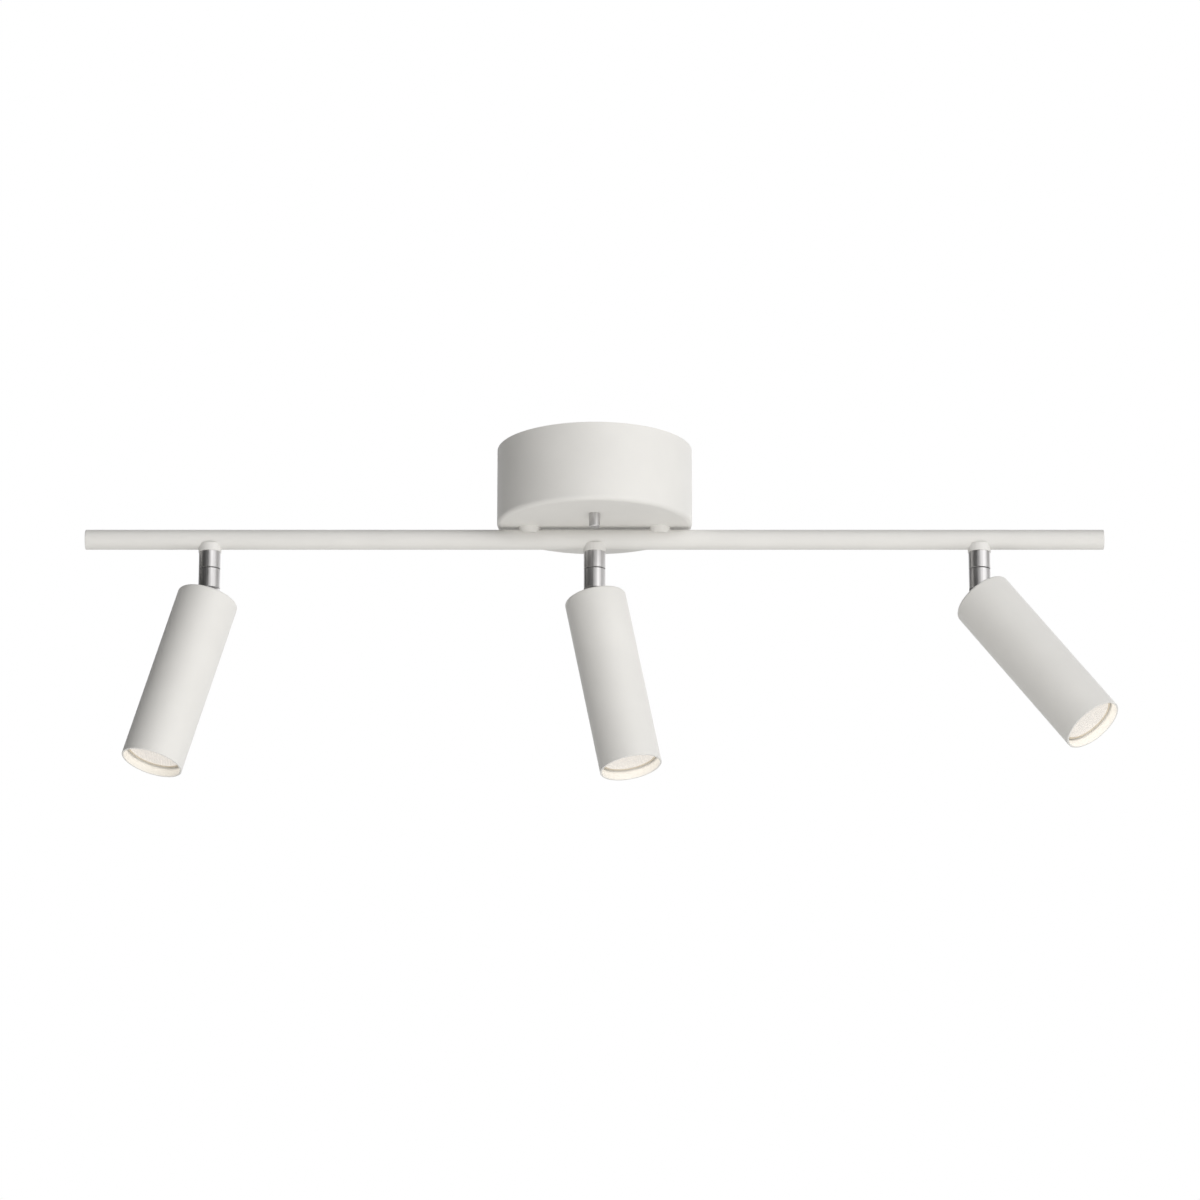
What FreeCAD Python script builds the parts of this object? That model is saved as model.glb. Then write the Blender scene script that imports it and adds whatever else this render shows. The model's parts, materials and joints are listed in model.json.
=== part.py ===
import FreeCAD, Part
import Sketcher
import math
import os

# Ceiling fixture: a drum canopy carries a round bar, and three tubular spots hang from the bar.
# Millimetres. X runs along the bar, -Y is the front, +Z is up, and the ceiling is at z = 0.
os.makedirs("parts", exist_ok=True)
doc = FreeCAD.newDocument("fixture")

# ---------------------------------------------------------------- driving dimensions
DIMENSIONS = {
    # canopy and what is inside it
    "canopy_diameter": 127.0,
    "canopy_height": 52.0,
    "canopy_wall": 1.2,
    "canopy_edge": 3.0,
    "plate_diameter": 110.0,
    "plate_thickness": 1.5,
    "cable_hole": 20.0,
    "cable_bore": 12.0,
    "slot_offset": 35.0,
    "slot_length": 12.0,
    "slot_width": 5.0,
    "stud_offset": 32.0,
    "stud_diameter": 4.0,
    "cap_nut_diameter": 7.3,
    "cap_nut_height": 9.0,
    "block_width": 32.0,
    "block_depth": 14.0,
    "block_height": 15.0,
    # bar
    "bar_diameter": 13.0,
    "bar_wall": 1.2,
    "bar_half": 331.0,
    "bar_axis": -60.1,
    "plug_flange": 1.0,
    "standoff_offset": 42.5,
    "saddle_diameter": 14.0,
    "nipple_diameter": 8.0,
    "nipple_bore": 5.0,
    "nut_height": 3.0,
    # stems
    "spot_spacing": 250.0,
    "stem_saddle_diameter": 14.8,
    "stem_saddle_top": -63.6,
    "stem_saddle_bottom": -68.8,
    "stem_diameter": 14.1,
    "joint_top": -80.1,
    "joint_gap": 0.4,
    "web": 4.0,
    "swivel_bore": 11.8,
    "stop_radius": 5.6,
    # tilt pivot
    "pivot": -98.3,
    "shoulder": 5.0,
    "plug_length": 3.3,
    "tongue_half": 4.0,
    "tongue_radius": 6.95,
    "ear_gap": 0.3,
    "ear_thickness": 1.5,
    "ear_radius": 4.0,
    "screw_head": 1.5,
    # head
    "head_diameter": 40.0,
    "head_length": 120.5,
    "head_wall": 1.2,
    "head_top": 2.0,
    "head_edge": 1.8,
    "cap_drop": 1.6,
    "slot_half": 7.5,
    "slot_back": 7.6,
    "slot_front": 15.0,
    "yoke_plate": 35.0,
    "leg_offset": 14.0,
    "bridge_drop": 50.0,
    "holder_diameter": 26.0,
    "holder_height": 14.6,
    # lamp
    "lamp_diameter": 36.0,
    "lamp_rim": 1.0,
    "lamp_length": 50.0,
    "lamp_recess": 6.0,
    "pin_radius": 5.0,
    "lead_diameter": 1.8,
}
# azimuth of the mouth about +Z, and tilt from straight down, in degrees
SPOTS = {
    "left": {"side": -1, "azimuth": 211.7, "tilt": 18.2},
    "centre": {"side": 0, "azimuth": -37.0, "tilt": 13.8},
    "right": {"side": 1, "azimuth": -28.7, "tilt": 38.6},
}
UNLOCK_ANGLE = 18.0

sheet = doc.addObject("Spreadsheet::Sheet", "dims")
for row, (alias, size) in enumerate(DIMENSIONS.items(), start=1):
    sheet.set("A%d" % row, alias)
    sheet.set("B%d" % row, str(size))
    sheet.setAlias("B%d" % row, alias)
doc.recompute()

UP = FreeCAD.Vector(0, 0, 1)
X_AXIS = FreeCAD.Vector(1, 0, 0)
Y_AXIS = FreeCAD.Vector(0, 1, 0)
NO_TURN = FreeCAD.Rotation()
nodes = []


# ---------------------------------------------------------------- helpers
def number(expression):
    """The value of a sheet expression."""
    return float(sheet.evalExpression(expression))


def shift(x="0", y="0", z="0", turn=NO_TURN):
    """A placement at three sheet expressions."""
    return FreeCAD.Placement(FreeCAD.Vector(number(x), number(y), number(z)), turn)


def new_body(label, place):
    body = doc.addObject("PartDesign::Body", label)
    body.Label = label
    body.Placement = place
    return body


def flat_sketch(body, role, name):
    """An empty sketch on one of the body's own origin planes."""
    sketch = body.newObject("Sketcher::SketchObject", body.Label + "_" + name)
    plane = next(f for f in body.Origin.OriginFeatures if f.Role == role)
    sketch.AttachmentSupport = [(plane, "")]
    sketch.MapMode = "FlatFace"
    return sketch


def hold(sketch, kind, geometry, point, expression):
    """Pin one coordinate of a point to a sheet expression."""
    if expression == "0":
        axis = -2 if kind == "DistanceX" else -1
        sketch.addConstraint(Sketcher.Constraint("PointOnObject", geometry, point, axis))
        return
    rule = Sketcher.Constraint(kind, -1, 1, geometry, point, number(expression))
    sketch.setExpression("Constraints[%d]" % sketch.addConstraint(rule), expression)


def polygon(body, role, name, points):
    """A closed outline through points given as pairs of sheet expressions."""
    sketch = flat_sketch(body, role, name)
    corners = [FreeCAD.Vector(number(x), number(y), 0) for x, y in points]
    count = len(corners)
    for i in range(count):
        sketch.addGeometry(Part.LineSegment(corners[i], corners[(i + 1) % count]))
    for i in range(count):
        sketch.addConstraint(Sketcher.Constraint("Coincident", i, 2, (i + 1) % count, 1))
    for i, (x, y) in enumerate(points):
        hold(sketch, "DistanceX", i, 1, x)
        hold(sketch, "DistanceY", i, 1, y)
    doc.recompute()
    return sketch


def circles(body, role, name, rounds):
    """A sketch of circles, each given as (x, y, radius) expressions."""
    sketch = flat_sketch(body, role, name)
    for i, (x, y, radius) in enumerate(rounds):
        middle = FreeCAD.Vector(number(x), number(y), 0)
        sketch.addGeometry(Part.Circle(middle, UP, number(radius)))
        hold(sketch, "DistanceX", i, 3, x)
        hold(sketch, "DistanceY", i, 3, y)
        rule = Sketcher.Constraint("Radius", i, number(radius))
        sketch.setExpression("Constraints[%d]" % sketch.addConstraint(rule), radius)
    doc.recompute()
    return sketch


def feature(body, kind, name):
    made = body.newObject("PartDesign::" + kind, body.Label + "_" + name)
    body.Tip = made
    return made


def turned(label, place, points):
    """A body turned from an outline of (radius, height) expressions."""
    body = new_body(label, place)
    sketch = polygon(body, "XZ_Plane", "outline", points)
    turn = feature(body, "Revolution", "turn")
    turn.Profile = sketch
    turn.ReferenceAxis = (sketch, ["V_Axis"])
    turn.Angle = 360
    doc.recompute()
    return body


def padded(body, sketch, length, centred=False):
    pad = feature(body, "Pad", "pad")
    pad.Profile = sketch
    pad.setExpression("Length", length)
    pad.Midplane = centred
    doc.recompute()


def solid(body, kind, name, sizes, at=("0", "0", "0"), turn=NO_TURN):
    """Add or cut a box, cylinder, cone or prism, sized and placed by sheet expressions."""
    made = feature(body, kind, name)
    for key, size in sizes.items():
        made.setExpression(key, size)
    made.Placement = FreeCAD.Placement(FreeCAD.Vector(), turn)
    for key, size in zip("xyz", at):
        made.setExpression("Placement.Base." + key, size)
    doc.recompute()


def box(body, kind, name, low, size):
    """A box from its lowest corner and its size along X, Y and Z."""
    keys = ("Length", "Width", "Height")
    solid(body, kind + "Box", name, dict(zip(keys, size)), low)


def cylinder(body, kind, name, radius, height, at=("0", "0", "0"), turn=NO_TURN):
    solid(body, kind + "Cylinder", name, {"Radius": radius, "Height": height}, at, turn)


def edges_at(body, radius, height):
    """Names of the circular edges about local Z of one radius and height."""
    shape = body.Tip.Shape
    names = []
    for i, edge in enumerate(shape.Edges, start=1):
        if not isinstance(edge.Curve, Part.Circle):
            continue
        middle = edge.Curve.Center
        on_axis = math.hypot(middle.x, middle.y) < 1e-4
        if on_axis and abs(edge.Curve.Radius - radius) < 1e-4 and abs(middle.z - height) < 1e-4:
            names.append("Edge%d" % i)
    return names


def soften(body, kind, name, size, places):
    """Fillet or chamfer the circular edges at (radius, height) pairs of expressions."""
    names = []
    for radius, height in places:
        names += edges_at(body, number(radius), number(height))
    rounding = feature(body, kind, name)
    rounding.Base = (body.Tip.BaseFeature, names)
    rounding.setExpression("Radius" if kind == "Fillet" else "Size", size)
    doc.recompute()


def node(label, members):
    """Hand one node's solids to the export."""
    if len(members) == 1:
        nodes.append((label, members[0]))
        return
    group = doc.addObject("Part::Compound", label)
    group.Label = label
    group.Links = members
    doc.recompute()
    nodes.append((label, group))


def rounded_path(points, radius):
    """A wire through points with each inner corner rounded."""
    corners = [FreeCAD.Vector(*point) for point in points]
    edges = []
    start = corners[0]
    for before, corner, after in zip(corners, corners[1:], corners[2:]):
        back = (before - corner).normalize()
        ahead = (after - corner).normalize()
        half = back.getAngle(ahead) / 2
        reach = radius / math.tan(half)
        enter = corner + back * reach
        leave = corner + ahead * reach
        bisector = (back + ahead).normalize()
        middle = corner + bisector * (radius / math.sin(half) - radius)
        edges.append(Part.LineSegment(start, enter).toShape())
        edges.append(Part.Arc(enter, middle, leave).toShape())
        start = leave
    edges.append(Part.LineSegment(start, corners[-1]).toShape())
    return Part.Wire(edges)


def lead(label, points, radius):
    """A round wire along a rounded path."""
    path = rounded_path(points, radius)
    first = FreeCAD.Vector(*points[0])
    ahead = FreeCAD.Vector(*points[1]) - first
    ring = Part.Wire(Part.Circle(first, ahead, number("dims.lead_diameter / 2")).toShape())
    wire = doc.addObject("Part::Feature", label)
    wire.Label = label
    wire.Shape = path.makePipeShell([ring], True, False)
    return wire


ALONG_X = FreeCAD.Rotation(Y_AXIS, 90)
ALONG_Y = FreeCAD.Rotation(X_AXIS, -90)
WORLD = FreeCAD.Placement()


# ---------------------------------------------------------------- canopy
def mounting_plate():
    place = shift(z="-dims.plate_thickness")
    body = new_body("mounting_plate", place)
    stud_hole = "dims.stud_diameter / 2 + 0.02"
    rounds = [
        ("0", "0", "dims.plate_diameter / 2"),
        ("0", "0", "dims.cable_hole / 2"),
        ("0", "dims.stud_offset", stud_hole),
        ("0", "-dims.stud_offset", stud_hole),
        ("-26", "-26", stud_hole),
    ]
    padded(body, circles(body, "XY_Plane", "disc", rounds), "dims.plate_thickness")
    half = "(dims.slot_length - dims.slot_width) / 2"
    for side, sign in (("left", "-"), ("right", "")):
        middle = sign + "dims.slot_offset"
        low = (middle + " - " + half, "-dims.slot_width / 2", "-1")
        size = ("dims.slot_length - dims.slot_width", "dims.slot_width", "dims.plate_thickness + 2")
        box(body, "Subtractive", "slot_" + side, low, size)
        for end, step in (("inner", " - "), ("outer", " + ")):
            name = "slot_" + side + "_" + end
            at = (middle + step + half, "0", "-1")
            cylinder(body, "Subtractive", name, "dims.slot_width / 2", "dims.plate_thickness + 2", at)
    node("mounting_plate", [body])


def cable_grommet():
    bore = "dims.cable_bore / 2"
    neck = "dims.cable_hole / 2"
    points = [
        (bore, "0"),
        (neck + " - 1.5", "0"),
        (neck + " - 1.5", "2.3"),
        (neck + " + 2", "2.3"),
        (neck + " + 2", "3.5"),
        (neck, "3.5"),
        (neck, "5"),
        (bore, "5"),
    ]
    node("cable_grommet", [turned("cable_grommet", shift(z="-5"), points)])


def canopy_studs():
    length = "dims.canopy_height + dims.cap_nut_height - 2.5"
    studs = []
    nuts = []
    for name, sign in (("front", "-"), ("rear", "")):
        y = sign + "dims.stud_offset"
        stud = new_body("stud_" + name, shift(y=y, z="-(" + length + ")"))
        cylinder(stud, "Additive", "rod", "dims.stud_diameter / 2", length + " - 0.2")
        studs.append(stud)
        nut = new_body("locknut_" + name, shift(y=y, z="-dims.plate_thickness - 3.2"))
        solid(nut, "AdditivePrism", "hexagon", {"Circumradius": "4", "Height": "3.2"})
        cylinder(nut, "Subtractive", "thread", "dims.stud_diameter / 2", "3.2")
        nuts.append(nut)
    node("canopy_studs", studs)
    node("stud_locknuts", nuts)


def canopy_shell():
    outer = "dims.canopy_diameter / 2"
    inner = outer + " - dims.canopy_wall"
    points = [
        ("0", "0"),
        (outer, "0"),
        (outer, "dims.canopy_height"),
        (inner, "dims.canopy_height"),
        (inner, "dims.canopy_wall"),
        ("0", "dims.canopy_wall"),
    ]
    body = turned("canopy_shell", shift(z="-dims.canopy_height"), points)
    soften(body, "Fillet", "outer_edge", "dims.canopy_edge", [(outer, "0")])
    soften(body, "Fillet", "inner_edge", "dims.canopy_edge - dims.canopy_wall", [(inner, "dims.canopy_wall")])
    holes = {
        "nipple_left": ("-dims.standoff_offset", "0", "dims.nipple_diameter / 2 + 0.05"),
        "nipple_right": ("dims.standoff_offset", "0", "dims.nipple_diameter / 2 + 0.05"),
        "stud_front": ("0", "-dims.stud_offset", "dims.stud_diameter / 2 + 0.2"),
        "stud_rear": ("0", "dims.stud_offset", "dims.stud_diameter / 2 + 0.2"),
    }
    for name, (x, y, radius) in holes.items():
        cylinder(body, "Subtractive", name, radius, "dims.canopy_wall + 2", (x, y, "-1"))
    node("canopy_shell", [body])


def canopy_cap_nuts():
    outer = "dims.cap_nut_diameter / 2"
    bore = "dims.stud_diameter / 2"
    points = [
        ("0", "0"),
        (outer + " - 0.6", "0"),
        (outer, "0.6"),
        (outer, "dims.cap_nut_height - 0.2"),
        (outer + " - 0.2", "dims.cap_nut_height"),
        (bore, "dims.cap_nut_height"),
        (bore, "2.5"),
        ("0", "2.5"),
    ]
    nuts = []
    for name, sign in (("front", "-"), ("rear", "")):
        place = shift(y=sign + "dims.stud_offset", z="-dims.canopy_height - dims.cap_nut_height")
        nuts.append(turned("cap_nut_" + name, place, points))
    node("canopy_cap_nuts", nuts)


def terminal_block():
    """A four-pole block under the plate, behind the cable hole."""
    place = shift(y="12", z="-dims.plate_thickness - dims.block_height")
    body = new_body("terminal_block", place)
    size = ("dims.block_width", "dims.block_depth", "dims.block_height")
    box(body, "Additive", "housing", ("-dims.block_width / 2", "0", "0"), size)
    screws = []
    for pole in range(4):
        x = "%d * dims.block_width / 8" % (2 * pole - 3)
        cylinder(body, "Subtractive", "way_%d" % pole, "1.6", "dims.block_depth", (x, "0", "7.5"), ALONG_Y)
        cylinder(body, "Subtractive", "screw_way_%d" % pole, "1.9", "7.5", (x, "4", "0"))
        points = [("0", "0"), ("1.9", "0"), ("1.9", "2"), ("1.2", "2.4"), ("1.2", "5"), ("0", "5")]
        screw_place = shift(x=x, y="16", z="-dims.plate_thickness - dims.block_height + 0.8")
        screw = turned("terminal_screw_%d" % pole, screw_place, points)
        box(screw, "Subtractive", "drive", ("-2", "-0.3", "0"), ("4", "0.6", "0.8"))
        screws.append(screw)
    for rib in range(3):
        x = "%d * dims.block_width / 4 - 0.6" % (rib - 1)
        box(body, "Subtractive", "rib_%d" % rib, (x, "0", "0"), ("1.2", "dims.block_depth", "3"))
    node("terminal_block", [body])
    node("terminal_screws", screws)


def earth_screw():
    shank = "dims.stud_diameter / 2"
    points = [
        ("0", "0"),
        ("3.2", "0"),
        ("3.5", "0.6"),
        ("3.5", "2.4"),
        (shank, "2.4"),
        (shank, "2.2 + dims.plate_thickness"),
        ("0", "2.2 + dims.plate_thickness"),
    ]
    body = turned("earth_screw", shift("-26", "-26", "-dims.plate_thickness - 2.4"), points)
    box(body, "Subtractive", "slot", ("-4", "-0.5", "0"), ("8", "1", "1.2"))
    node("earth_screw", [body])


# ---------------------------------------------------------------- bar and its fixings
def bar_tube():
    """A round tube along X, drilled for the nipples above and below."""
    turn = FreeCAD.Rotation(Y_AXIS, 90)
    place = shift(z="dims.bar_axis", turn=turn)
    body = new_body("bar_tube", place)
    outer = "dims.bar_diameter / 2"
    rounds = [("0", "0", outer), ("0", "0", outer + " - dims.bar_wall")]
    length = "2 * (dims.bar_half - dims.plug_flange)"
    padded(body, circles(body, "XY_Plane", "ring", rounds), length, centred=True)
    drill = "dims.nipple_diameter / 2"
    up_turn = FreeCAD.Rotation(Y_AXIS, -90)
    for name, along in (("left", "-dims.standoff_offset"), ("right", "dims.standoff_offset")):
        cylinder(body, "Subtractive", "top_" + name, drill, outer, ("0", "0", along), up_turn)
    for name, spot in SPOTS.items():
        along = "%d * dims.spot_spacing" % spot["side"]
        cylinder(body, "Subtractive", "under_" + name, drill, outer, ("0", "0", along), ALONG_X)
    node("bar_tube", [body])


def bar_end_plugs():
    outer = "dims.bar_diameter / 2"
    inner = outer + " - dims.bar_wall"
    points = [
        ("0", "0"),
        (inner, "0"),
        (inner, "8"),
        (outer, "8"),
        (outer, "8 + dims.plug_flange - 0.3"),
        (outer + " - 0.3", "8 + dims.plug_flange"),
        ("0", "8 + dims.plug_flange"),
    ]
    plugs = []
    for name, sign, turn in (("left", "-", -90), ("right", "", 90)):
        x = sign + "(dims.bar_half - dims.plug_flange - 8)"
        place = shift(x=x, z="dims.bar_axis", turn=FreeCAD.Rotation(Y_AXIS, turn))
        plugs.append(turned("end_plug_" + name, place, points))
    node("bar_end_plugs", plugs)


def saddle(label, x, bottom, top, diameter):
    """A short collar cut to sit on the round bar."""
    outer = diameter + " / 2"
    bore = "dims.nipple_diameter / 2 + 0.1"
    height = "(" + top + ") - (" + bottom + ")"
    points = [(bore, "0"), (outer, "0"), (outer, height), (bore, height)]
    body = turned(label, shift(x=x, z=bottom), points)
    at = ("-" + outer + " - 1", "0", "dims.bar_axis - (" + bottom + ")")
    cylinder(body, "Subtractive", "bar_seat", "dims.bar_diameter / 2", diameter + " + 2", at, ALONG_X)
    return body


def standoffs():
    """What joins the canopy to the bar: two saddles, two hollow nipples and two nuts."""
    saddles = []
    nipples = []
    nuts = []
    bore = "dims.nipple_bore / 2 + 0.3"
    outer = "dims.nipple_diameter / 2"
    foot = "dims.bar_axis + 4.5"
    height = "-dims.canopy_height + 10 - (" + foot + ")"
    for name, sign in (("left", "-"), ("right", "")):
        x = sign + "dims.standoff_offset"
        seat = saddle("standoff_" + name, x, "-dims.canopy_height - 4.5", "-dims.canopy_height",
                      "dims.saddle_diameter")
        saddles.append(seat)
        points = [(bore, "0"), (outer, "0"), (outer, height), (bore, height)]
        nipples.append(turned("standoff_nipple_" + name, shift(x=x, z=foot), points))
        nut = new_body("standoff_nut_" + name, shift(x=x, z="-dims.canopy_height + dims.canopy_wall"))
        sizes = {"Circumradius": "7.2", "Height": "dims.nut_height"}
        solid(nut, "AdditivePrism", "hexagon", sizes)
        cylinder(nut, "Subtractive", "thread", outer, "dims.nut_height")
        nuts.append(nut)
    node("standoff_saddles", saddles)
    node("standoff_nipples", nipples)
    node("standoff_nuts", nuts)


def supply_leads():
    """Three leads from the terminal block through the nipples and the bar into the stems."""
    pole = number("dims.block_width / 8")
    block_z = number("-dims.plate_thickness - dims.block_height + 7.5")
    axis = number("dims.bar_axis")
    side = number("dims.standoff_offset")
    spacing = number("dims.spot_spacing")
    end = number("dims.pivot + 10.4")
    left = [
        (-3 * pole, 20, block_z),
        (-3 * pole, 32, block_z),
        (-side, 20, -20),
        (-side, 0, -32),
        (-side, 0, axis),
        (-spacing, 0, axis),
        (-spacing, 0, end),
    ]
    right = [
        (3 * pole, 20, block_z),
        (3 * pole, 32, block_z),
        (side + 1.2, 20, -20),
        (side + 1.2, 0, -32),
        (side + 1.2, 0, axis),
        (spacing, 0, axis),
        (spacing, 0, end),
    ]
    centre = [
        (pole, 20, block_z),
        (pole, 31, block_z),
        (pole, 31, -17),
        (34, 22, -24),
        (side - 1.2, 0, -36),
        (side - 1.2, 0, axis),
        (0, 0, axis),
        (0, 0, end),
    ]
    routes = {"left": left, "right": right, "centre": centre}
    node("supply_leads", [lead("supply_lead_" + name, points, 2.5) for name, points in routes.items()])


# ---------------------------------------------------------------- one spot
def stem_fixed_pieces(name, x):
    """The pieces of a stem that do not turn."""
    top = "dims.stem_saddle_top"
    bottom = "dims.stem_saddle_bottom"
    seat = saddle("stem_saddle_" + name, x, bottom, top, "dims.stem_saddle_diameter")
    node("stem_saddle_" + name, [seat])

    outer = "dims.nipple_diameter / 2"
    bore = "dims.nipple_bore / 2"
    foot = "dims.pivot + dims.shoulder + 3.7"
    height = "dims.bar_axis - 4.5 - (" + foot + ")"
    points = [(bore, "0"), (outer, "0"), (outer, height), (bore, height)]
    node("stem_nipple_" + name, [turned("stem_nipple_" + name, shift(x=x, z=foot), points)])

    sleeve = "dims.stem_diameter / 2"
    sleeve_height = "dims.stem_saddle_bottom - dims.joint_top"
    points = [
        (outer + " + 0.1", "0"),
        (sleeve + " - 0.2", "0"),
        (sleeve, "0.2"),
        (sleeve, sleeve_height),
        (outer + " + 0.1", sleeve_height),
    ]
    # the stop groove leaves a wall on the local -X side, turned here to the front
    place = shift(x=x, z="dims.joint_top", turn=FreeCAD.Rotation(UP, 90))
    upper = turned("upper_sleeve_" + name, place, points)
    inner = "dims.stop_radius - 0.95"
    far = "dims.stop_radius + 0.95"
    section = [(inner, "0"), (far, "0"), (far, "1.6"), (inner, "1.6")]
    groove_sketch = polygon(upper, "XZ_Plane", "stop_section", section)
    groove = feature(upper, "Groove", "stop_groove")
    groove.Profile = groove_sketch
    groove.ReferenceAxis = (groove_sketch, ["V_Axis"])
    groove.Angle = 355
    groove.Midplane = True
    doc.recompute()
    node("upper_sleeve_" + name, [upper])

    nut_top = "dims.joint_top - dims.joint_gap - dims.web - 0.1"
    nut = new_body("swivel_nut_" + name, shift(x=x, z=nut_top + " - 4"))
    cylinder(nut, "Additive", "flange", "5.4", "4")
    cylinder(nut, "Subtractive", "thread", outer, "4")
    for key, low in (("front", "-5.4"), ("rear", "4.4")):
        box(nut, "Subtractive", "spanner_" + key, ("-6", low, "0"), ("12", "1", "2.8"))
    node("swivel_nut_" + name, [nut])


def turning_pieces(name, pan):
    """The lower sleeve and the knuckle, which turn about the stem."""
    outer = "dims.stem_diameter / 2"
    plug = "dims.swivel_bore / 2"
    height = "dims.joint_top - dims.joint_gap - dims.pivot - dims.shoulder"
    web_foot = height + " - dims.web"
    bore = "dims.nipple_diameter / 2 + 0.06"
    points = [
        (plug, "0"),
        (outer + " - 0.1", "0"),
        (outer, "0.1"),
        (outer, height + " - 0.2"),
        (outer + " - 0.2", height),
        (bore, height),
        (bore, web_foot),
        (plug, web_foot),
    ]
    sleeve = turned("swivel_sleeve_" + name, pan.multiply(shift(z="dims.shoulder")), points)
    at = ("-dims.stop_radius", "0", height + " - 1")
    cylinder(sleeve, "Additive", "stop_lug", "0.6", "2.5", at)
    node("swivel_sleeve_" + name, [sleeve])

    # a plug fixed in the sleeve, and a round-ended tongue that the screw passes through
    knuckle = new_body("knuckle_" + name, pan)
    cylinder(knuckle, "Additive", "plug", plug, "dims.plug_length", ("0", "0", "dims.shoulder"))
    cylinder(knuckle, "Additive", "stem", outer, "dims.shoulder + dims.tongue_radius",
             ("0", "0", "-dims.tongue_radius"))
    for key, low in (("near", "-dims.stem_diameter / 2"), ("far", "dims.tongue_half")):
        corner = ("-dims.stem_diameter / 2", low, "-dims.tongue_radius")
        size = ("dims.stem_diameter", "dims.stem_diameter / 2 - dims.tongue_half",
                "dims.shoulder + dims.tongue_radius")
        box(knuckle, "Subtractive", "flat_" + key, corner, size)
    # the lower half is cut round about the pivot: four corners go, outside the tongue radius
    round_end = [
        ("-dims.stem_diameter / 2 - 1", "0"),
        ("-dims.stem_diameter / 2 - 1", "-dims.stem_diameter"),
        ("dims.stem_diameter / 2 + 1", "-dims.stem_diameter"),
        ("dims.stem_diameter / 2 + 1", "0"),
        ("dims.tongue_radius", "0"),
    ]
    steps = 12
    for i in range(1, steps + 1):
        angle = 180.0 * i / steps
        round_end.append(("dims.tongue_radius * cos(%.1f deg)" % angle,
                          "-dims.tongue_radius * sin(%.1f deg)" % angle))
    cutter = polygon(knuckle, "XZ_Plane", "round_end", round_end)
    pocket = feature(knuckle, "Pocket", "end_cut")
    pocket.Profile = cutter
    pocket.Type = "ThroughAll"
    pocket.Midplane = True
    doc.recompute()
    cylinder(knuckle, "Subtractive", "pivot_hole", "2.06", "2 * dims.tongue_half + 2",
             ("0", "-dims.tongue_half - 1", "0"), ALONG_Y)
    lean = math.degrees(math.atan2(4.2, -12.9))
    cylinder(knuckle, "Subtractive", "lead_way", "1.1", "24", ("-0.28", "0", "dims.shoulder + 7.24"),
             FreeCAD.Rotation(Y_AXIS, lean))
    node("knuckle_" + name, [knuckle])


def yoke(name, head):
    """The bracket under the cap: plate, two pivot ears, two legs and the bridge for the holder."""
    body = new_body("yoke_" + name, head)
    under = "-dims.cap_drop - dims.head_top"
    plate_foot = under + " - 1.5"
    cylinder(body, "Additive", "plate", "dims.yoke_plate / 2", "1.5", ("0", "0", plate_foot))
    low = ("-dims.slot_back", "-dims.slot_half", plate_foot + " - 1")
    box(body, "Subtractive", "opening", low, ("dims.slot_back + dims.slot_front", "2 * dims.slot_half", "4"))
    ear_low = "dims.tongue_half + dims.ear_gap"
    width = "2 * dims.ear_radius"
    for key, y in (("near", "-(" + ear_low + ") - dims.ear_thickness"), ("far", ear_low)):
        low = ("-dims.ear_radius", y, plate_foot)
        box(body, "Additive", "ear_" + key, low, (width, "dims.ear_thickness", "-(" + plate_foot + ")"))
        cylinder(body, "Additive", "ear_top_" + key, "dims.ear_radius", "dims.ear_thickness",
                 ("0", y, "0"), ALONG_Y)
    root_width = "dims.slot_half - (" + ear_low + ") + 0.5"
    for key, y in (("near", "-dims.slot_half - 0.5"), ("far", ear_low)):
        low = ("-dims.ear_radius", y, plate_foot)
        box(body, "Additive", "root_" + key, low, (width, root_width, "1.5"))
    leg_drop = "dims.bridge_drop + 1.2"
    leg_height = leg_drop + " + " + plate_foot
    for key, y in (("near", "-dims.leg_offset - 1.2"), ("far", "dims.leg_offset")):
        low = ("-dims.ear_radius", y, "-(" + leg_drop + ")")
        box(body, "Additive", "leg_" + key, low, (width, "1.2", leg_height))
    low = ("-dims.ear_radius", "-dims.leg_offset - 1.2", "-(" + leg_drop + ")")
    box(body, "Additive", "bridge", low, (width, "2 * dims.leg_offset + 2.4", "1.2"))
    cylinder(body, "Subtractive", "lead_hole", "2", "3", ("0", "0", "-(" + leg_drop + ") - 1"))
    cylinder(body, "Subtractive", "pivot_hole", "2", "20", ("0", "-10", "0"), ALONG_Y)
    for key, y in (("near", "-12"), ("far", "12")):
        cylinder(body, "Subtractive", "screw_hole_" + key, "1.5", "4", ("0", y, plate_foot + " - 1"))
    node("yoke_" + name, [body])


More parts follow.
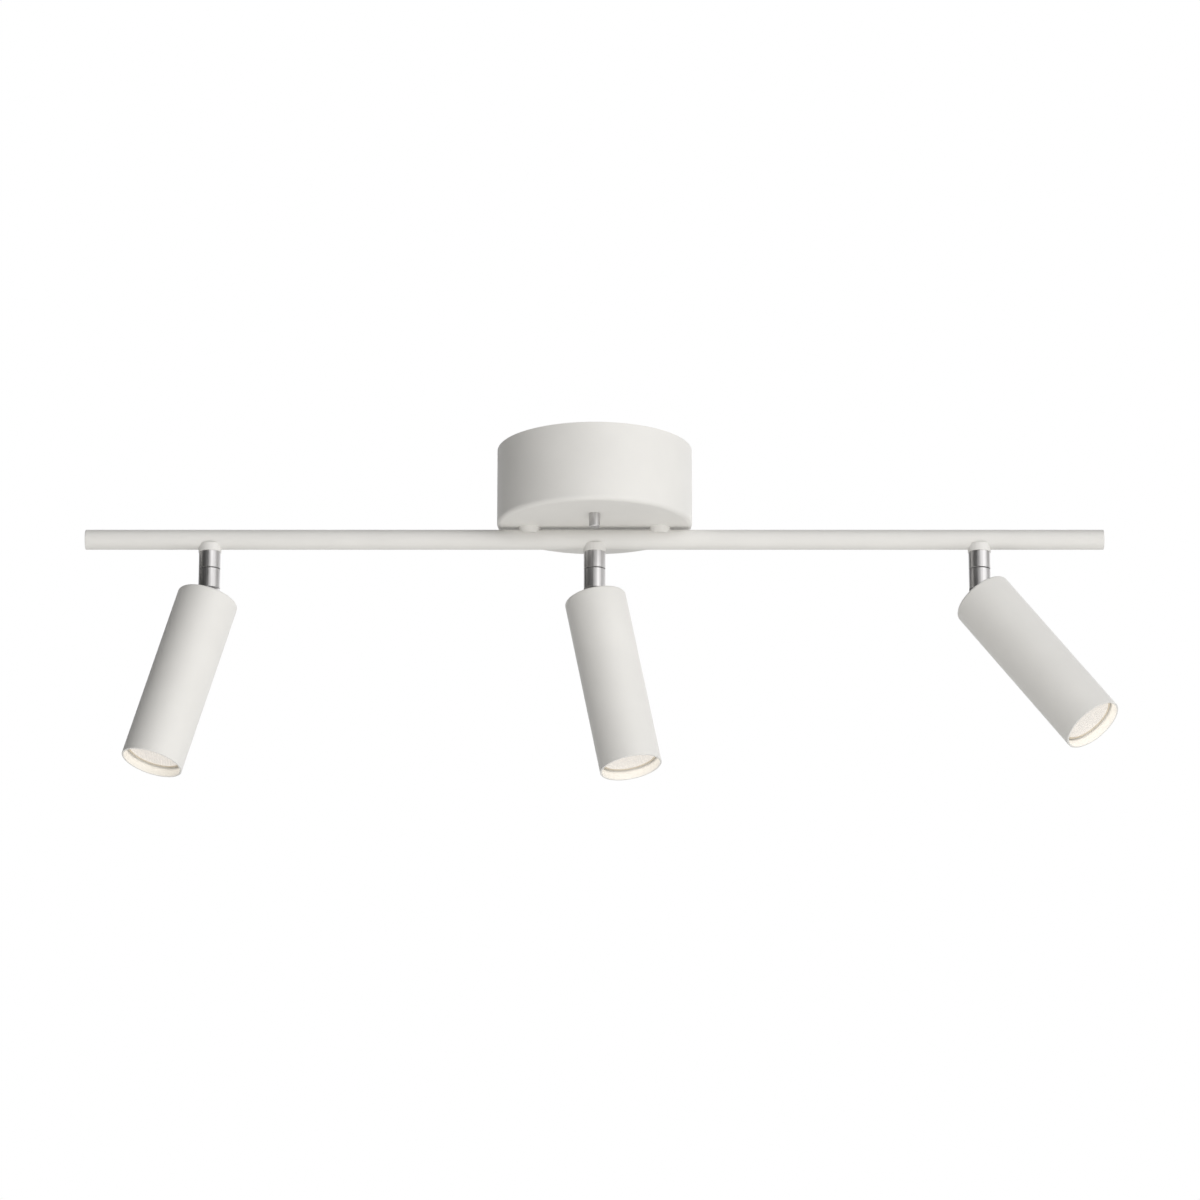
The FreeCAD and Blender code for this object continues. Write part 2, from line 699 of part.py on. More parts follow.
def head_fasteners(name, head):
    """The two countersunk yoke screws, and the pivot screw with its nut."""
    screws = []
    points = [
        ("0", "0"),
        ("1.5", "0"),
        ("1.5", "4.9"),
        ("2.75", "6.4"),
        ("0", "6.4"),
    ]
    for key, y in (("near", "-12"), ("far", "12")):
        place = head.multiply(shift(y=y, z="-dims.cap_drop - 6.4"))
        screw = turned("yoke_screw_%s_%s" % (name, key), place, points)
        box(screw, "Subtractive", "slot", ("-3", "-0.3", "5.7"), ("6", "0.6", "1"))
        screws.append(screw)
    node("yoke_screws_" + name, screws)

    ear_face = "(dims.tongue_half + dims.ear_gap + dims.ear_thickness)"
    shank = "2 * " + ear_face + " + dims.screw_head"
    points = [
        ("0", "0"),
        ("2", "0"),
        ("2", shank),
        ("3.2", shank),
        ("3.2", shank + " + dims.screw_head - 0.3"),
        ("2.9", shank + " + dims.screw_head"),
        ("0", shank + " + dims.screw_head"),
    ]
    place = head.multiply(shift(y="-" + ear_face + " - dims.screw_head", turn=ALONG_Y))
    screw = turned("pivot_screw_" + name, place, points)
    box(screw, "Subtractive", "slot", ("-4", "-0.4", shank + " + 0.8"), ("8", "0.8", "1"))
    nut_turn = ALONG_Y.multiply(FreeCAD.Rotation(UP, 30))
    nut_place = head.multiply(shift(y="-" + ear_face + " - dims.screw_head", turn=nut_turn))
    nut = new_body("pivot_nut_" + name, nut_place)
    solid(nut, "AdditivePrism", "hexagon", {"Circumradius": "3.5", "Height": "dims.screw_head"})
    cylinder(nut, "Subtractive", "thread", "2", "dims.screw_head")
    node("pivot_screw_" + name, [screw, nut])


def head_shell(name, head):
    """The tube of the head with its closed, slotted top."""
    outer = "dims.head_diameter / 2"
    inner = outer + " - dims.head_wall"
    roof = "dims.head_length - dims.head_top"
    points = [
        (inner, "0"),
        (outer, "0"),
        (outer, "dims.head_length"),
        ("0", "dims.head_length"),
        ("0", roof),
        (inner, roof),
    ]
    place = head.multiply(shift(z="-dims.cap_drop - dims.head_length"))
    body = turned("head_shell_" + name, place, points)
    soften(body, "Fillet", "top_edge", "dims.head_edge", [(outer, "dims.head_length")])
    soften(body, "Fillet", "roof_corner", "0.6", [(inner, roof)])
    soften(body, "Chamfer", "mouth_edge", "0.2", [(outer, "0"), (inner, "0")])
    low = ("-dims.slot_back", "-dims.slot_half", roof + " - 1")
    size = ("dims.slot_back + dims.slot_front", "2 * dims.slot_half", "dims.head_top + 2")
    box(body, "Subtractive", "slot", low, size)
    for key, y in (("near", "-12"), ("far", "12")):
        cylinder(body, "Subtractive", "screw_hole_" + key, "1.5", "dims.head_top + 2",
                 ("0", y, roof + " - 1"))
        sizes = {"Radius1": "1.5", "Radius2": "2.75", "Height": "1.5"}
        solid(body, "SubtractiveCone", "countersink_" + key, sizes, ("0", y, "dims.head_length - 1.5"))
    node("head_shell_" + name, [body])


def pin_place(angle):
    """Where a pin stands at an angle about the lamp's axis, in degrees."""
    reach = number("dims.pin_radius")
    return FreeCAD.Vector(reach * math.cos(math.radians(angle)), reach * math.sin(math.radians(angle)), 0)


def round_cut(body, name, middle, radius, low, height):
    at = ("%.6f" % middle.x, "%.6f" % middle.y, str(low))
    cylinder(body, "Subtractive", name, str(radius), str(height), at)


def straight_cut(body, name, start, end, half_width, low, height):
    """A straight slot from one point to another."""
    along = end - start
    across = FreeCAD.Vector(-along.y, along.x, 0).normalize() * half_width
    corner = start - across
    turn = FreeCAD.Rotation(X_AXIS, along)
    sizes = {"Length": "%.6f" % along.Length, "Width": str(2 * half_width), "Height": str(height)}
    solid(body, "SubtractiveBox", name, sizes, ("%.6f" % corner.x, "%.6f" % corner.y, str(low)), turn)


def lampholder(name, head):
    """A ceramic holder with two keyholes that the lamp's pins turn in."""
    outer = "dims.holder_diameter / 2"
    place = head.multiply(shift(z="-dims.bridge_drop - 1.2 - dims.holder_height"))
    points = [
        ("0", "0"),
        (outer + " - 0.8", "0"),
        (outer, "0.8"),
        (outer, "dims.holder_height - 4"),
        (outer + " - 3", "dims.holder_height"),
        ("0", "dims.holder_height"),
    ]
    body = turned("lampholder_" + name, place, points)
    # each keyhole: a round entry, a narrow slot for the pin's neck, and a wider chamber behind it
    neck = 1.5
    chamber = 2.8
    for key, turn in (("first", 0.0), ("second", 180.0)):
        rest = pin_place(turn)
        entry = pin_place(turn - UNLOCK_ANGLE)
        round_cut(body, "rest_neck_" + key, rest, neck, -0.5, 3.0)
        round_cut(body, "rest_chamber_" + key, rest, chamber, 2.0, 4.3)
        round_cut(body, "entry_" + key, entry, chamber + 0.1, -0.5, 7.1)
        straight_cut(body, "neck_slot_" + key, rest, entry, neck - 0.05, -0.5, 3.1)
        straight_cut(body, "chamber_slot_" + key, rest, entry, chamber - 0.1, 1.9, 4.2)
    node("lampholder_" + name, [body])


def lamp(name, head):
    """A reflector lamp: a cup with two pins behind, and a lens in front."""
    outer = "dims.lamp_diameter / 2"
    rim = outer + " - dims.lamp_rim"
    face = "-dims.cap_drop - dims.head_length + dims.lamp_recess"
    place = head.multiply(shift(z=face))
    points = [
        (rim, "0"),
        (outer, "0"),
        (outer, "4"),
        (outer + " - 1", "5"),
        ("9.8", "36"),
        ("10.4", "38"),
        ("10.4", "dims.lamp_length - 1"),
        ("9.4", "dims.lamp_length"),
        ("0", "dims.lamp_length"),
        ("0", "30"),
        ("6", "30"),
        (rim + " - 1", "3.4"),
        (rim, "3.4"),
    ]
    body = turned("lamp_body_" + name, place, points)
    for key, sign in (("first", ""), ("second", "-")):
        x = sign + "dims.pin_radius"
        cylinder(body, "Additive", "pin_neck_" + key, "1.25", "4", (x, "0", "dims.lamp_length - 1"))
        cylinder(body, "Additive", "pin_head_" + key, "2.4", "3", (x, "0", "dims.lamp_length + 2.8"))
    node("lamp_body_" + name, [body])
    lens_points = [("0", "0.4"), (rim, "0.4"), (rim, "3.4"), ("0", "3.4")]
    node("lamp_lens_" + name, [turned("lamp_lens_" + name, place, lens_points)])


def head_lead(name, pan, head):
    """The lead from the stem, beside the pivot, down to the lamp holder."""
    from_stem = [(0.35, 0, 10.2), (1.0, 0, 8.3), (5.3, 0, -4.9)]
    in_head = [(0, 0, -26), (0, 0, number("-dims.bridge_drop - 1.2"))]
    points = [pan.multVec(FreeCAD.Vector(*p)) for p in from_stem]
    points += [head.multVec(FreeCAD.Vector(*p)) for p in in_head]
    node("head_lead_" + name, [lead("head_lead_" + name, points, 2.0)])


def spot_pieces(name, spot):
    x = "%d * dims.spot_spacing" % spot["side"]
    stem_fixed_pieces(name, x)
    pan = shift(x=x, z="dims.pivot", turn=FreeCAD.Rotation(UP, spot["azimuth"]))
    turning_pieces(name, pan)
    # a positive turn about local -Y swings the mouth towards local +X
    tilt = FreeCAD.Placement(FreeCAD.Vector(), FreeCAD.Rotation(-Y_AXIS, spot["tilt"]))
    head = pan.multiply(tilt)
    yoke(name, head)
    head_fasteners(name, head)
    head_shell(name, head)
    lampholder(name, head)
    lamp(name, head)
    head_lead(name, pan, head)


# ---------------------------------------------------------------- build and write
mounting_plate()
cable_grommet()
canopy_studs()
canopy_shell()
canopy_cap_nuts()
terminal_block()
earth_screw()
bar_tube()
bar_end_plugs()
standoffs()
supply_leads()
for spot_name, spot_values in SPOTS.items():
    spot_pieces(spot_name, spot_values)

doc.recompute()
for item in doc.Objects:
    if "Invalid" in item.State or "Error" in item.State:
        raise RuntimeError("%s is %s" % (item.Label, item.State))
for label, item in nodes:
    shape = item.Shape
    if shape.isNull() or not shape.isValid():
        raise RuntimeError("bad shape in " + label)
    shape.exportStep("parts/%s.step" % label)
    print(label, len(shape.Solids), round(shape.Volume, 1))
print(len(nodes), "nodes")
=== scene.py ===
import json
import math
import bmesh
import bpy
from mathutils import Matrix, Vector

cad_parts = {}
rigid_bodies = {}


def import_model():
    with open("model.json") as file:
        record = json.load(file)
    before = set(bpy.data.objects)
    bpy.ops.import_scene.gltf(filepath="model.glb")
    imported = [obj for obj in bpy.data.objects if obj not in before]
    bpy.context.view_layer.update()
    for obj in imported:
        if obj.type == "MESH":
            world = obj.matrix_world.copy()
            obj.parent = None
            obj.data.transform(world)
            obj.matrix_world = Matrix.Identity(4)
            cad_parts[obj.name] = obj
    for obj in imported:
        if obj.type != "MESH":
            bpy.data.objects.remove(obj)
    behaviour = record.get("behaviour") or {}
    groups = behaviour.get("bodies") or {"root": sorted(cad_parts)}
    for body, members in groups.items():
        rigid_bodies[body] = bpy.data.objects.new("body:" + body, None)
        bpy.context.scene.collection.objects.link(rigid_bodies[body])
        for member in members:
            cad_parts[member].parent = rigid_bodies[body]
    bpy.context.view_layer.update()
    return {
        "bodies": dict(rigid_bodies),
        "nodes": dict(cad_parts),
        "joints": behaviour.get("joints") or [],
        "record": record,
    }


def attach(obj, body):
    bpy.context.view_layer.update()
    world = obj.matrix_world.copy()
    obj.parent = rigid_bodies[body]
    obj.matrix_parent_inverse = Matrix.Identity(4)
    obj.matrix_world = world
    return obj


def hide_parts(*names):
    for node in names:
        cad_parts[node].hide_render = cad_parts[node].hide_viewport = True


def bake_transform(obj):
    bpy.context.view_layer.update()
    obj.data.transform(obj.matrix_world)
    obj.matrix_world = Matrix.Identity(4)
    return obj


# A ceiling fixture seen from below. Metres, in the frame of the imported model: X along the bar,
# -Y the front, +Z up, and the ceiling at z = 0.
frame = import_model()

SPOTS = ("left", "centre", "right")
JOINTS = {joint["name"]: joint for joint in frame["joints"]}


# ---------------------------------------------------------------- shader helpers
class Shader:
    """A new node material and its principled shader."""

    def __init__(self, name, color, roughness, metallic=0.0):
        self.material = bpy.data.materials.new(name)
        self.material.use_nodes = True
        self.tree = self.material.node_tree
        self.shader = self.tree.nodes["Principled BSDF"]
        self.shader.inputs["Base Color"].default_value = (*color, 1.0)
        self.shader.inputs["Roughness"].default_value = roughness
        self.shader.inputs["Metallic"].default_value = metallic

    def node(self, kind, **settings):
        made = self.tree.nodes.new("ShaderNode" + kind)
        for key, value in settings.items():
            setattr(made, key, value)
        return made

    def link(self, source, output, target, socket):
        self.tree.links.new(source.outputs[output], target.inputs[socket])

    def coordinates(self, scale=(1.0, 1.0, 1.0)):
        """Object coordinates, stretched along each axis."""
        place = self.node("TexCoord")
        stretch = self.node("Mapping")
        stretch.inputs["Scale"].default_value = scale
        self.link(place, "Object", stretch, "Vector")
        return stretch

    def noise(self, size, stretch=(1.0, 1.0, 1.0), detail=3.0):
        """Noise whose features are about size metres across."""
        texture = self.node("TexNoise")
        texture.inputs["Scale"].default_value = 1.0 / size
        texture.inputs["Detail"].default_value = detail
        self.link(self.coordinates(stretch), "Vector", texture, "Vector")
        return texture

    def tint(self, texture, dark, light, low=0.35, high=0.65):
        """Base colour that runs between two shades with a texture."""
        ramp = self.node("ValToRGB")
        ramp.color_ramp.elements[0].position = low
        ramp.color_ramp.elements[0].color = (*dark, 1.0)
        ramp.color_ramp.elements[1].position = high
        ramp.color_ramp.elements[1].color = (*light, 1.0)
        self.tree.links.new(texture.outputs[0], ramp.inputs["Fac"])
        self.link(ramp, "Color", self.shader, "Base Color")

    def rough(self, texture, low, high):
        """Roughness that runs between two values with a texture."""
        spread = self.node("MapRange")
        spread.inputs["To Min"].default_value = low
        spread.inputs["To Max"].default_value = high
        self.tree.links.new(texture.outputs[0], spread.inputs["Value"])
        self.link(spread, "Result", self.shader, "Roughness")

    def bump(self, texture, depth, strength):
        """Surface relief of about depth metres."""
        relief = self.node("Bump")
        relief.inputs["Distance"].default_value = depth
        relief.inputs["Strength"].default_value = strength
        self.tree.links.new(texture.outputs[0], relief.inputs["Height"])
        self.link(relief, "Normal", self.shader, "Normal")


def shade(color, factor):
    """A darker shade of a colour."""
    return tuple(channel * factor for channel in color)


# ---------------------------------------------------------------- materials
CUP_GLOW = 0.08  # emission strength of plastic that is lit from inside
FACETS_PER_METRE = 420.0


def powder_coat(name, color):
    """Matte powder paint: slight clouding, and a fine orange-peel grain."""
    paint = Shader(name, color, 0.5)
    paint.tint(paint.noise(0.03), shade(color, 0.975), color)
    paint.rough(paint.noise(0.004), 0.42, 0.58)
    paint.bump(paint.noise(0.0007, detail=2.0), 0.00002, 0.5)
    paint.shader.inputs["Specular IOR Level"].default_value = 0.4
    return paint.material


def brushed_steel(name, color, roughness, streak=0.0022, dark=0.78):
    """Drawn and turned steel: soft bands along the part, fine rings round it, and smudging."""
    steel = Shader(name, color, roughness, metallic=1.0)
    steel.tint(steel.noise(streak, (1.0, 1.0, 0.02), detail=2.0), shade(color, dark), color, 0.38, 0.62)
    steel.rough(steel.noise(0.003, detail=2.0), roughness - 0.05, roughness + 0.07)
    steel.bump(steel.noise(0.012, (1.0, 1.0, 60.0), detail=4.0), 0.00001, 0.35)
    return steel.material


def moulded_plastic(name, color, roughness, glow=None):
    """Moulded plastic with a faint texture, lit from inside where it has a glow colour."""
    plastic = Shader(name, color, roughness)
    if glow:
        plastic.shader.inputs["Emission Color"].default_value = (*glow, 1.0)
        plastic.shader.inputs["Emission Strength"].default_value = CUP_GLOW
    plastic.tint(plastic.noise(0.006), shade(color, 0.95), color)
    plastic.rough(plastic.noise(0.0015), roughness - 0.06, roughness + 0.08)
    plastic.bump(plastic.noise(0.0004, detail=1.0), 0.00001, 0.4)
    return plastic.material


def lit_lens(name, color, glow):
    """The front lens of a lamp that is on: a soft warm glow with fine facets."""
    lens = Shader(name, color, 0.25)
    facets = lens.node("TexVoronoi", feature="F1")
    facets.inputs["Scale"].default_value = FACETS_PER_METRE
    lens.link(lens.coordinates(), "Vector", facets, "Vector")
    lens.tint(facets, shade(color, 0.8), color, 0.0, 0.8)
    warm = lens.node("ValToRGB")
    warm.color_ramp.elements[0].color = (1.0, 0.95, 0.89, 1.0)
    warm.color_ramp.elements[1].color = (0.9, 0.8, 0.7, 1.0)
    lens.link(facets, "Distance", warm, "Fac")
    lens.link(warm, "Color", lens.shader, "Emission Color")
    lens.shader.inputs["Emission Strength"].default_value = glow
    lens.rough(lens.noise(0.002), 0.15, 0.3)
    lens.bump(facets, 0.0002, 0.6)
    return lens.material


def unglazed(name, color):
    """Unglazed ceramic: pale, speckled and slightly rough."""
    clay = Shader(name, color, 0.6)
    clay.tint(clay.noise(0.0012), shade(color, 0.9), color)
    clay.rough(clay.noise(0.002), 0.5, 0.75)
    clay.bump(clay.noise(0.0005), 0.00003, 0.5)
    return clay.material


WHITE = (0.80, 0.79, 0.765)
MATERIALS = {
    "white_coat": powder_coat("white_powder_coat", WHITE),
    "brushed_stem": brushed_steel("turned_steel", (0.66, 0.65, 0.65), 0.36, 0.0018, 0.75),
    "zinc_steel": brushed_steel("zinc_plated_steel", (0.58, 0.59, 0.6), 0.38),
    "black_rubber": moulded_plastic("black_rubber", (0.02, 0.02, 0.02), 0.65),
    "block_plastic": moulded_plastic("terminal_plastic", (0.72, 0.72, 0.66), 0.45),
    "plug_plastic": moulded_plastic("end_plug_plastic", WHITE, 0.5),
    "brass": brushed_steel("brass", (0.72, 0.52, 0.24), 0.3),
    "holder_ceramic": unglazed("holder_ceramic", (0.78, 0.75, 0.68)),
    "lead_sleeve": moulded_plastic("lead_sleeve", (0.78, 0.74, 0.68), 0.55),
    "lamp_plastic": moulded_plastic("lamp_plastic", (0.62, 0.56, 0.46), 0.4, (1.0, 0.85, 0.62)),
    "lamp_lens": lit_lens("lit_lens", (0.63, 0.615, 0.595), 0.31),
}


def finish_cad_nodes():
    """Give every CAD node the procedural material of its slot."""
    slots = {row["node"]: row["material_slot"] for row in frame["record"]["subparts"]}
    for name, piece in frame["nodes"].items():
        piece.data.materials.clear()
        piece.data.materials.append(MATERIALS[slots[name]])


# ---------------------------------------------------------------- shape helpers
SHARP_ANGLE = math.radians(35)
ON_AXIS = 1e-7


def pivot_matrix(name, up):
    """A frame at a head's pivot: +Z along up, and +X where the head leans."""
    tilt = JOINTS["tilt_" + name]
    across = -Vector(tilt["axis"]).normalized()
    lean = across.cross(up).normalized()
    turn = Matrix((lean, across, up)).transposed().to_4x4()
    return Matrix.Translation(Vector(tilt["pos_m"])) @ turn


def head_matrix(name):
    """A head's own frame, with +Z back along the tube."""
    return pivot_matrix(name, -Vector(JOINTS["lamp_turn_" + name]["axis"]).normalized())


def stem_matrix(name):
    """The frame of a stem's turning part, with +Z up."""
    return pivot_matrix(name, Vector((0.0, 0.0, 1.0)))


def mesh_piece(name, form, material, place, body=None):
    """Turn a bmesh, drawn in its own frame, into a piece, which rides on a body if one is named."""
    bmesh.ops.recalc_face_normals(form, faces=form.faces)
    mesh = bpy.data.meshes.new(name)
    form.to_mesh(mesh)
    form.free()
    mesh.transform(place)
    mesh.materials.append(material)
    mesh.shade_smooth()
    mesh.set_sharp_from_angle(angle=SHARP_ANGLE)
    piece = bpy.data.objects.new(name, mesh)
    bpy.context.scene.collection.objects.link(piece)
    if body:
        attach(piece, body)
    return piece


def lathe(form, profile, segments=128, centre=0.0):
    """Add a surface turned about Z, or about a line beside it at x = centre.

    The profile is (radius, height) points, and the surface closes where the radius is 0.
    """
    rings = []
    for radius, height in profile:
        if radius < ON_AXIS:
            rings.append([form.verts.new((centre, 0, height))])
            continue
        ring = []
        for i in range(segments):
            angle = 2 * math.pi * i / segments
            ring.append(form.verts.new((centre + radius * math.cos(angle), radius * math.sin(angle), height)))
        rings.append(ring)
    for lower, upper in zip(rings, rings[1:]):
        for i in range(segments):
            j = (i + 1) % segments
            if len(lower) == 1:
                form.faces.new((lower[0], upper[i], upper[j]))
            elif len(upper) == 1:
                form.faces.new((lower[i], lower[j], upper[0]))
            else:
                form.faces.new((lower[i], lower[j], upper[j], upper[i]))


# ---------------------------------------------------------------- lamps
HEAD_LENGTH = 0.1205
CAP_DROP = 0.0016  # from the pivot to the closed top of the tube
LAMP_RECESS = 0.006  # from the tube's mouth back to the lamp's rim
LAMP_RADIUS = 0.0180
LENS_RADIUS = 0.0171
LENS_FACE = 0.0004  # heights behind the lamp's rim
LENS_BACK = 0.0032
LENSLET_PITCH = 0.0021
LENSLET_RADIUS = 0.47 * LENSLET_PITCH
LENSLET_ROW_STEP = 0.866  # rows of a honeycomb, as a share of the pitch
LENSLET_MARGIN = 0.0014
LENSLET_SIDES = 10
LENSLET_STEPS = ((1.0, -0.00005), (0.75, 0.00022), (0.4, 0.00034))  # (share of the radius, rise)
RIB_COUNT = 28
RIB_HALF_THICKNESS = 0.0004
PIN_OFFSET = 0.005


def lamp_matrix(name, ahead=0.0):
    """The frame of a lamp's rim, or of a place ahead of it, with +Z back along the tube."""
    return head_matrix(name) @ Matrix.Translation((0, 0, -CAP_DROP - HEAD_LENGTH + LAMP_RECESS - ahead))


def lenslet(form, x, y):
    """A low round dome that stands out of the lens."""
    rings = []
    for share, rise in LENSLET_STEPS:
        reach = share * LENSLET_RADIUS
        ring = []
        for i in range(LENSLET_SIDES):
            angle = 2 * math.pi * i / LENSLET_SIDES
            spot = (x + reach * math.cos(angle), y + reach * math.sin(angle), LENS_FACE - rise)
            ring.append(form.verts.new(spot))
        rings.append(ring)
    for lower, upper in zip(rings, rings[1:]):
        for i in range(LENSLET_SIDES):
            j = (i + 1) % LENSLET_SIDES
            form.faces.new((lower[i], lower[j], upper[j], upper[i]))
    form.faces.new(rings[-1])


def lamp_front(name, place):
    """A flat lens with a field of small round lenslets."""
    form = bmesh.new()
    rows = int(LENS_RADIUS / LENSLET_PITCH) + 1
    bevel = 0.0004
    lathe(form, [(0, LENS_BACK), (LENS_RADIUS, LENS_BACK), (LENS_RADIUS, LENS_FACE + bevel),
                 (LENS_RADIUS - bevel, LENS_FACE), (0, LENS_FACE)], 96)
    for row in range(-rows, rows + 1):
        for column in range(-rows, rows + 1):
            x = LENSLET_PITCH * (column + 0.5 * (row % 2))
            y = LENSLET_PITCH * LENSLET_ROW_STEP * row
            if math.hypot(x, y) < LENS_RADIUS - LENSLET_MARGIN:
                lenslet(form, x, y)
    piece = mesh_piece("lens_" + name, form, MATERIALS["lamp_lens"], place, "lamp_" + name)
    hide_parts("lamp_lens_" + name)


def lamp_case(name, place):
    """The lamp's cup: rolled rim, cooling ribs, waisted base and two pins."""
    form = bmesh.new()
    r = LAMP_RADIUS
    profile = [
        (0, 0.030), (0.006, 0.030), (r - 0.0017, 0.0034), (r - 0.0008, 0.0033), (r - 0.0008, 0.0004),
        (r - 0.0007, 0.0001), (r - 0.0004, 0), (r - 0.0001, 0.0002), (r, 0.0005), (r, 0.0036),
        (r - 0.0003, 0.0043), (r - 0.0012, 0.0052), (0.0150, 0.0120), (0.0098, 0.0350), (0.0102, 0.0370),
        (0.0104, 0.0385), (0.0104, 0.0485), (0.0101, 0.0495), (0.0094, 0.0500), (0, 0.0500),
    ]
    lathe(form, profile)
    rib = [(0.0120, 0.0065), (r - 0.0014, 0.0065), (0.0152, 0.0180), (0.0112, 0.0335), (0.0090, 0.0335)]
    for i in range(RIB_COUNT):
        spin = Matrix.Rotation(2 * math.pi * i / RIB_COUNT, 4, "Z")
        sides = []
        for offset in (-RIB_HALF_THICKNESS, RIB_HALF_THICKNESS):
            sides.append([form.verts.new(spin @ Vector((radius, offset, height))) for radius, height in rib])
        form.faces.new(sides[0])
        form.faces.new(list(reversed(sides[1])))
        for k in range(len(rib)):
            j = (k + 1) % len(rib)
            form.faces.new((sides[0][k], sides[0][j], sides[1][j], sides[1][k]))
    pin = [(0, 0.049), (0.00125, 0.049), (0.00125, 0.0528), (0.0021, 0.0528), (0.0024, 0.0531),
           (0.0024, 0.0555), (0.0021, 0.0558), (0, 0.0558)]
    for side in (-1, 1):
        lathe(form, pin, 24, centre=side * PIN_OFFSET)
    piece = mesh_piece("lamp_" + name, form, MATERIALS["lamp_plastic"], place, "lamp_" + name)
    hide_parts("lamp_body_" + name)


def lamps():
    """A lamp in each head, in place of the plain CAD one."""
    for name in SPOTS:
        place = lamp_matrix(name)
        lamp_front(name, place)
        lamp_case(name, place)


# ---------------------------------------------------------------- leads inside the heads
LEAD_RADIUS = 0.0009
# (x, z) in metres: held in the knuckle's bore, in the stem's frame, then free in the head's frame
LEAD_IN_STEM = ((0.00035, 0.0102), (0.001, 0.0083), (0.00466, -0.00292), (0.0056, -0.0058))
LEAD_IN_HEAD = ((0.0046, -0.013), (0.0006, -0.024), (0.0, -0.040), (0.0, -0.0512))


def tube(points):
    """A round wire along a smooth line with these control points."""
    data = bpy.data.curves.new("lead_route", "CURVE")
    data.dimensions = "3D"
    data.bevel_depth = LEAD_RADIUS
    data.bevel_resolution = 3
    data.use_fill_caps = True
    spline = data.splines.new("NURBS")
    spline.points.add(len(points) - 1)
    for control, point in zip(spline.points, points):
        control.co = (*point, 1.0)
    spline.order_u = 3
    spline.use_endpoint_u = True
    route = bpy.data.objects.new("lead_route", data)
    drawn = bpy.data.meshes.new_from_object(route)
    form = bmesh.new()
    form.from_mesh(drawn)
    bpy.data.objects.remove(route)
    bpy.data.meshes.remove(drawn)
    bpy.data.curves.remove(data)
    return form


def head_leads():
    """The lead below each stem, drawn at rest: it leaves the knuckle beside the pivot and curves down into
    the head.
    """
    for name in SPOTS:
        held = [stem_matrix(name) @ Vector((x, 0.0, z)) for x, z in LEAD_IN_STEM]
        free = [head_matrix(name) @ Vector((x, 0.0, z)) for x, z in LEAD_IN_HEAD]
        form = tube(held + free)
        piece = mesh_piece("lead_" + name, form, MATERIALS["lead_sleeve"], Matrix.Identity(4))
        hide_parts("head_lead_" + name)
        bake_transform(piece)


# ---------------------------------------------------------------- stage, light and camera
FLOOR_HEIGHT = -2.4
FLOOR_HALF = 25.0
FLOOR_GLOW = 0.2
AIM = (0.0, 0.0, -0.1)  # the middle of the fixture
COOL_WHITE = (1.0, 0.99, 0.98)
WARM_WHITE = (1.0, 0.98, 0.95)
LAMP_WHITE = (1.0, 0.93, 0.82)
SPILL_POWER = 0.0029
SPILL_AHEAD = 0.0004


def pale_floor():
    """A wide pale floor far below, with a little glow so that it stays pale in views from above."""
    form = bmesh.new()
    corners = ((-1, -1), (1, -1), (1, 1), (-1, 1))
    form.faces.new([form.verts.new((x * FLOOR_HALF, y * FLOOR_HALF, FLOOR_HEIGHT)) for x, y in corners])
    mesh = bpy.data.meshes.new("floor")
    form.to_mesh(mesh)
    form.free()
    paint = Shader("floor_paint", (0.8, 0.8, 0.79), 0.8)
    paint.tint(paint.noise(0.6), (0.78, 0.78, 0.77), (0.82, 0.82, 0.81))
    paint.shader.inputs["Emission Color"].default_value = (1.0, 0.99, 0.97, 1.0)
    paint.shader.inputs["Emission Strength"].default_value = FLOOR_GLOW
    mesh.materials.append(paint.material)
    floor = bpy.data.objects.new("floor", mesh)
    bpy.context.scene.collection.objects.link(floor)


def studio_sky():
    """White to the camera; what lights the object is dimmer, and brightest behind it and to its right."""
    world = bpy.data.worlds.new("studio")
    bpy.context.scene.world = world
    world.use_nodes = True
    tree = world.node_tree
    tree.nodes.clear()
    direction = tree.nodes.new("ShaderNodeTexCoord")
    split = tree.nodes.new("ShaderNodeSeparateXYZ")
    tree.links.new(direction.outputs["Generated"], split.inputs[0])

    def band(axis, first, last, low, high):
        """Grey that rises along one axis, between two places on the unit sphere."""
        ramp = tree.nodes.new("ShaderNodeValToRGB")
        ramp.color_ramp.elements[0].position = first
        ramp.color_ramp.elements[0].color = (low, low, low, 1.0)
        ramp.color_ramp.elements[1].position = last
        ramp.color_ramp.elements[1].color = (high, high, high, 1.0)
        tree.links.new(split.outputs[axis], ramp.inputs["Fac"])
        return ramp

    both = tree.nodes.new("ShaderNodeMix")
    both.data_type = "RGBA"
    both.blend_type = "ADD"
    both.inputs["Factor"].default_value = 1.0
    tree.links.new(band("Y", 0.55, 0.85, 0.04, 1.0).outputs["Color"], both.inputs["A"])
    tree.links.new(band("X", 0.1, 0.6, 0.0, 0.75).outputs["Color"], both.inputs["B"])
    room = tree.nodes.new("ShaderNodeBackground")
    tree.links.new(both.outputs["Result"], room.inputs["Color"])
    backdrop = tree.nodes.new("ShaderNodeBackground")
    backdrop.inputs["Color"].default_value = (1.0, 1.0, 1.0, 1.0)
    seen = tree.nodes.new("ShaderNodeLightPath")
    pick = tree.nodes.new("ShaderNodeMixShader")
    output = tree.nodes.new("ShaderNodeOutputWorld")
    tree.links.new(seen.outputs["Is Camera Ray"], pick.inputs["Fac"])
    tree.links.new(room.outputs["Background"], pick.inputs[1])
    tree.links.new(backdrop.outputs["Background"], pick.inputs[2])
    tree.links.new(pick.outputs["Shader"], output.inputs["Surface"])


